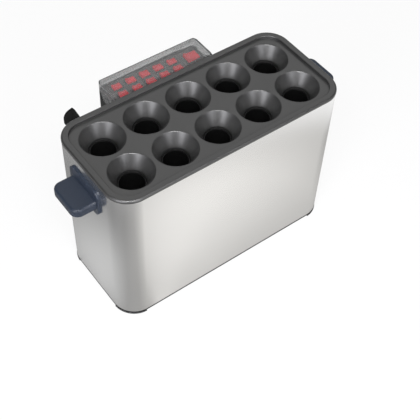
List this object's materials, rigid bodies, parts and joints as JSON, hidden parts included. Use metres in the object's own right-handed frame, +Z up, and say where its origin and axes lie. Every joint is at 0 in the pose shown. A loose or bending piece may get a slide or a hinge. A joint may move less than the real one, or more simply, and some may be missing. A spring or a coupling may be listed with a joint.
{
  "type": "egg-roll cooker",
  "caption": "Countertop egg-roll cooker: a steel sleeve, a dark funnel tray over upright heated tubes, paddle handles and a switch box under a clear hinged lid.",
  "frame": {"origin": "middle of the whole object's plan, on the surface that the feet stand on", "axes": "+X along the long side to the right handle, +Y back to the switch box, +Z up"},
  "size_m": [0.43, 0.2134, 0.248],
  "materials": {
    "polished_steel": "polished sheet steel",
    "nonstick_grey": "satin non-stick coating",
    "nonstick_black": "satin non-stick coating",
    "navy_plastic": "fine satin moulding",
    "black_plastic": "fine satin moulding",
    "clear_plastic": "clear moulded plastic",
    "red_plastic": "glossy translucent red",
    "black_rubber": "matte",
    "zinc_steel": "zinc-plated",
    "dark_screw": "blackened steel",
    "heater_sheath": "rolled sheath over mica",
    "cutout_metal": "plain",
    "ceramic": "pale moulded terminal strip",
    "wire_sleeve": "woven sleeving"
  },
  "bodies": {
    "cooker": {"body_shell": "polished_steel", "top_tray": "nonstick_grey", "base_pan": "black_plastic", "corner_feet": "black_rubber", "cooking_tube_1": "nonstick_black", "cooking_tube_2": "nonstick_black", "cooking_tube_3": "nonstick_black", "cooking_tube_4": "nonstick_black", "cooking_tube_5": "nonstick_black", "cooking_tube_6": "nonstick_black", "cooking_tube_7": "nonstick_black", "cooking_tube_8": "nonstick_black", "cooking_tube_9": "nonstick_black", "cooking_tube_10": "nonstick_black", "heater_band_1": "heater_sheath", "heater_band_2": "heater_sheath", "heater_band_3": "heater_sheath", "heater_band_4": "heater_sheath", "heater_band_5": "heater_sheath", "heater_band_6": "heater_sheath", "heater_band_7": "heater_sheath", "heater_band_8": "heater_sheath", "heater_band_9": "heater_sheath", "heater_band_10": "heater_sheath", "tube_thermostats": "cutout_metal", "tie_rods": "zinc_steel", "base_nuts": "zinc_steel", "left_handle": "navy_plastic", "right_handle": "navy_plastic", "handle_screws": "zinc_steel", "control_box": "black_plastic", "box_screws": "zinc_steel", "switch_panel": "black_plastic", "panel_screws": "dark_screw", "switch_housings": "black_plastic", "power_switch_housing": "black_plastic", "lid_hinge_pins": "zinc_steel", "wiring_loom": "wire_sleeve", "wire_grommet": "black_rubber", "terminal_block": "ceramic", "cord_gland": "black_rubber", "cord_hook": "black_plastic", "hook_screws": "dark_screw"},
    "lid": {"clear_lid": "clear_plastic"},
    "switch_rocker_1": {"switch_rocker_1": "red_plastic"},
    "switch_rocker_2": {"switch_rocker_2": "red_plastic"},
    "switch_rocker_3": {"switch_rocker_3": "red_plastic"},
    "switch_rocker_4": {"switch_rocker_4": "red_plastic"},
    "switch_rocker_5": {"switch_rocker_5": "red_plastic"},
    "switch_rocker_6": {"switch_rocker_6": "red_plastic"},
    "switch_rocker_7": {"switch_rocker_7": "red_plastic"},
    "switch_rocker_8": {"switch_rocker_8": "red_plastic"},
    "switch_rocker_9": {"switch_rocker_9": "red_plastic"},
    "switch_rocker_10": {"switch_rocker_10": "red_plastic"},
    "power_rocker": {"power_rocker": "red_plastic"}
  },
  "joints": [
    {"name": "lid_hinge", "type": "hinge", "parent": "cooker", "child": "lid", "pos_m": [0, 0.0677, 0.228], "axis": [1, 0, 0], "range_deg": [0, 95]},
    {"name": "switch_rocker_1_tilt", "type": "hinge", "parent": "cooker", "child": "switch_rocker_1", "pos_m": [-0.0577, 0.0763, 0.2222], "axis": [0, -1, 0], "range_deg": [0, 16]},
    {"name": "switch_rocker_2_tilt", "type": "hinge", "parent": "cooker", "child": "switch_rocker_2", "pos_m": [-0.0351, 0.0763, 0.2222], "axis": [0, -1, 0], "range_deg": [0, 16]},
    {"name": "switch_rocker_3_tilt", "type": "hinge", "parent": "cooker", "child": "switch_rocker_3", "pos_m": [-0.0125, 0.0763, 0.2222], "axis": [0, -1, 0], "range_deg": [0, 16]},
    {"name": "switch_rocker_4_tilt", "type": "hinge", "parent": "cooker", "child": "switch_rocker_4", "pos_m": [0.0101, 0.0763, 0.2222], "axis": [0, -1, 0], "range_deg": [0, 16]},
    {"name": "switch_rocker_5_tilt", "type": "hinge", "parent": "cooker", "child": "switch_rocker_5", "pos_m": [0.0327, 0.0763, 0.2222], "axis": [0, -1, 0], "range_deg": [0, 16]},
    {"name": "switch_rocker_6_tilt", "type": "hinge", "parent": "cooker", "child": "switch_rocker_6", "pos_m": [-0.0577, 0.0925, 0.2222], "axis": [0, -1, 0], "range_deg": [0, 16]},
    {"name": "switch_rocker_7_tilt", "type": "hinge", "parent": "cooker", "child": "switch_rocker_7", "pos_m": [-0.0351, 0.0925, 0.2222], "axis": [0, -1, 0], "range_deg": [0, 16]},
    {"name": "switch_rocker_8_tilt", "type": "hinge", "parent": "cooker", "child": "switch_rocker_8", "pos_m": [-0.0125, 0.0925, 0.2222], "axis": [0, -1, 0], "range_deg": [0, 16]},
    {"name": "switch_rocker_9_tilt", "type": "hinge", "parent": "cooker", "child": "switch_rocker_9", "pos_m": [0.0101, 0.0925, 0.2222], "axis": [0, -1, 0], "range_deg": [0, 16]},
    {"name": "switch_rocker_10_tilt", "type": "hinge", "parent": "cooker", "child": "switch_rocker_10", "pos_m": [0.0327, 0.0925, 0.2222], "axis": [0, -1, 0], "range_deg": [0, 16]},
    {"name": "power_rocker_tilt", "type": "hinge", "parent": "cooker", "child": "power_rocker", "pos_m": [0.062, 0.0867, 0.2222], "axis": [0, -1, 0], "range_deg": [0, 16]}
  ]
}
